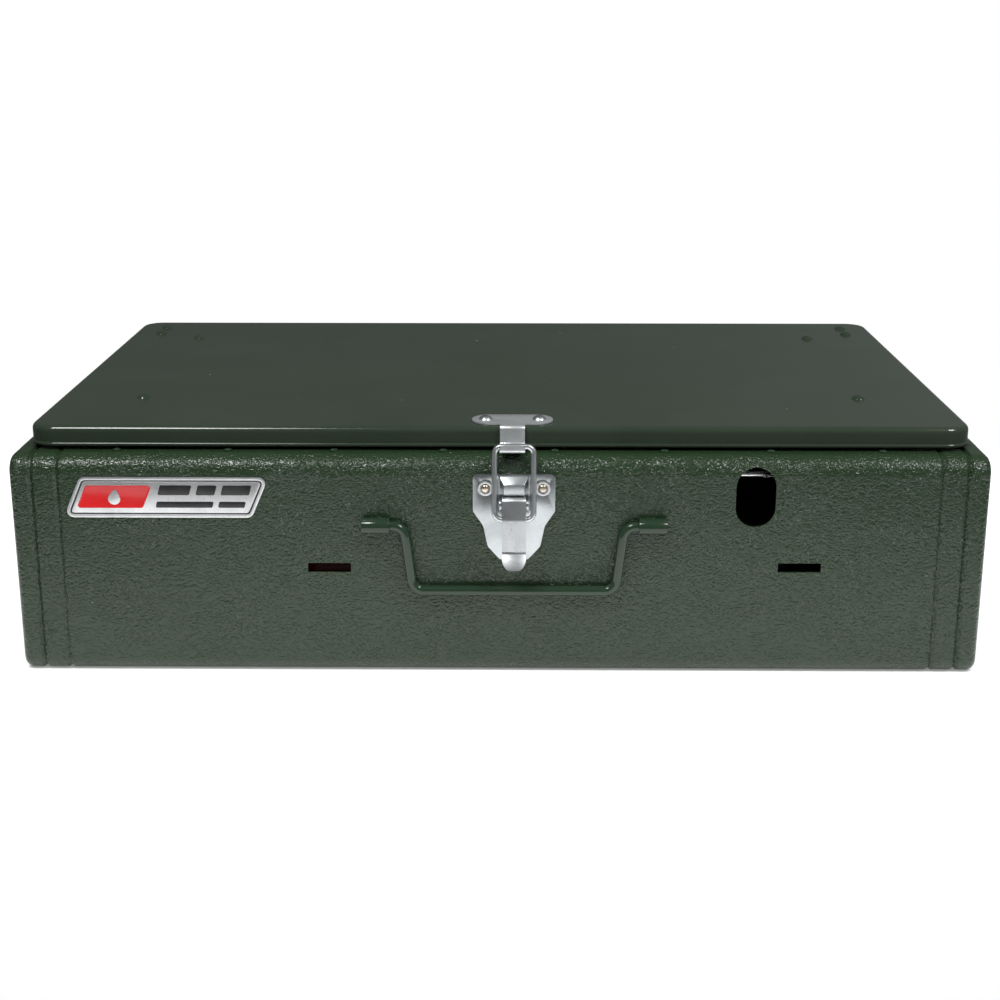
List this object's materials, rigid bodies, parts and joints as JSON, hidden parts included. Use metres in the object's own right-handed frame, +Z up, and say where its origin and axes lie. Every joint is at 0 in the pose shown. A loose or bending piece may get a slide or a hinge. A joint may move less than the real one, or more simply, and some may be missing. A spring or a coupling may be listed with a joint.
{
  "type": "camping stove",
  "caption": "Suitcase-style liquid-fuel camping stove, closed, with hinged lid, draw latch, carrying handle, burners, grate, wind baffles and stored fuel tank.",
  "frame": {"origin": "middle of the case floor, on the surface the stove stands on", "axes": "+X to the right of a person facing the latch, +Y towards the lid hinge at the back, +Z up"},
  "size_m": [0.4802, 0.3115, 0.1226],
  "materials": {
    "green_enamel": "glossy hammered stove enamel",
    "lid_enamel": "glossy smooth stove enamel",
    "badge": "satin printed plate",
    "zinc_plate": "bright zinc plating",
    "chrome_wire": "bright chrome plating",
    "burner_steel": "dull pressed steel",
    "cast_iron": "rough cast",
    "bright_steel": "bright turned steel",
    "black_plastic": "heat-resistant moulded plastic",
    "tank_enamel": "glossy enamel",
    "brass": "turned brass",
    "black_rubber": "nitrile"
  },
  "bodies": {
    "case": {"case_shell": "green_enamel", "end_panel_left": "green_enamel", "end_panel_right": "green_enamel", "badge_plate": "badge", "handle_clips": "green_enamel", "latch_base": "zinc_plate", "latch_pivot_pin": "zinc_plate", "latch_rivets": "zinc_plate", "case_hinge_leaves": "zinc_plate", "hinge_pins": "zinc_plate", "case_leaf_rivets": "zinc_plate", "grate": "chrome_wire", "grate_rests": "burner_steel", "burner_shelf": "burner_steel", "main_burner_bowl": "burner_steel", "main_burner_rings": "burner_steel", "main_burner_cap": "burner_steel", "main_burner_screw": "burner_steel", "main_burner_block": "cast_iron", "mixing_tube": "bright_steel", "crossover_tube": "bright_steel", "aux_burner_bowl": "burner_steel", "aux_burner_rings": "burner_steel", "aux_burner_cap": "burner_steel", "aux_burner_screw": "burner_steel", "aux_valve_body": "cast_iron", "fuel_tank": "tank_enamel", "tank_hooks": "zinc_plate", "filler_neck": "brass", "pump_barrel": "brass", "pump_cap": "bright_steel", "fuel_valve_body": "brass", "generator": "brass"},
    "lid": {"lid_shell": "lid_enamel", "strike_plate": "zinc_plate", "strike_rivets": "zinc_plate", "baffle_rivets": "lid_enamel", "baffle_clips": "zinc_plate", "baffle_stops": "zinc_plate", "baffle_wires": "zinc_plate", "lid_hinge_leaves": "zinc_plate", "lid_leaf_rivets": "zinc_plate"},
    "left_baffle": {"baffle_left": "green_enamel"},
    "right_baffle": {"baffle_right": "green_enamel"},
    "handle": {"carry_handle": "green_enamel"},
    "lever": {"latch_lever": "zinc_plate"},
    "bail": {"latch_bail": "zinc_plate"},
    "aux_valve": {"aux_valve_stem": "bright_steel", "aux_valve_knob": "black_plastic"},
    "fuel_valve": {"fuel_valve_stem": "bright_steel", "fuel_valve_knob": "black_plastic"},
    "pump": {"pump_plunger": "bright_steel", "pump_knob": "black_plastic"},
    "filler": {"filler_cap": "bright_steel", "filler_gasket": "black_rubber"}
  },
  "joints": [
    {"name": "lid_hinge", "type": "hinge", "parent": "case", "child": "lid", "pos_m": [0, 0.1389, 0.1116], "axis": [-1, 0, 0], "range_deg": [0, 100]},
    {"name": "left_baffle_swing", "type": "hinge", "parent": "lid", "child": "left_baffle", "pos_m": [-0.2075, 0, 0.1142], "axis": [0, 1, 0], "range_deg": [0, 92]},
    {"name": "right_baffle_swing", "type": "hinge", "parent": "lid", "child": "right_baffle", "pos_m": [0.2075, 0, 0.1142], "axis": [0, -1, 0], "range_deg": [0, 92]},
    {"name": "handle_swing", "type": "hinge", "parent": "case", "child": "handle", "pos_m": [0.0073, -0.1509, 0.0753], "axis": [-1, 0, 0], "range_deg": [0, 150]},
    {"name": "latch_lever_swing", "type": "hinge", "parent": "case", "child": "lever", "pos_m": [0.0072, -0.1534, 0.0866], "axis": [-1, 0, 0], "range_deg": [0, 100]},
    {"name": "latch_bail_swing", "type": "hinge", "parent": "lever", "child": "bail", "pos_m": [0.0072, -0.1542, 0.0797], "axis": [-1, 0, 0], "range_deg": [-82, 0]},
    {"name": "aux_valve_turn", "type": "hinge", "parent": "case", "child": "aux_valve", "pos_m": [-0.233, -0.002, 0.025], "axis": [-1, 0, 0], "range_deg": [0, 360]},
    {"name": "fuel_valve_turn", "type": "hinge", "parent": "case", "child": "fuel_valve", "pos_m": [0.07, -0.1265, 0.0833], "axis": [0, -1, 0], "range_deg": [0, 360]},
    {"name": "pump_stroke", "type": "slide", "parent": "case", "child": "pump", "axis": [-1, 0, 0], "range_m": [0, 0.044]},
    {"name": "filler_cap_turn", "type": "hinge", "parent": "case", "child": "filler", "pos_m": [-0.065, -0.1, 0.08], "axis": [0, 0, 1], "range_deg": [0, 360]}
  ],
  "couplings": [
    {"joint": "left_baffle_swing", "follows": "lid_hinge", "ratio": 0.9},
    {"joint": "right_baffle_swing", "follows": "lid_hinge", "ratio": 0.9},
    {"joint": "latch_bail_swing", "follows": "latch_lever_swing", "ratio": -0.795}
  ]
}
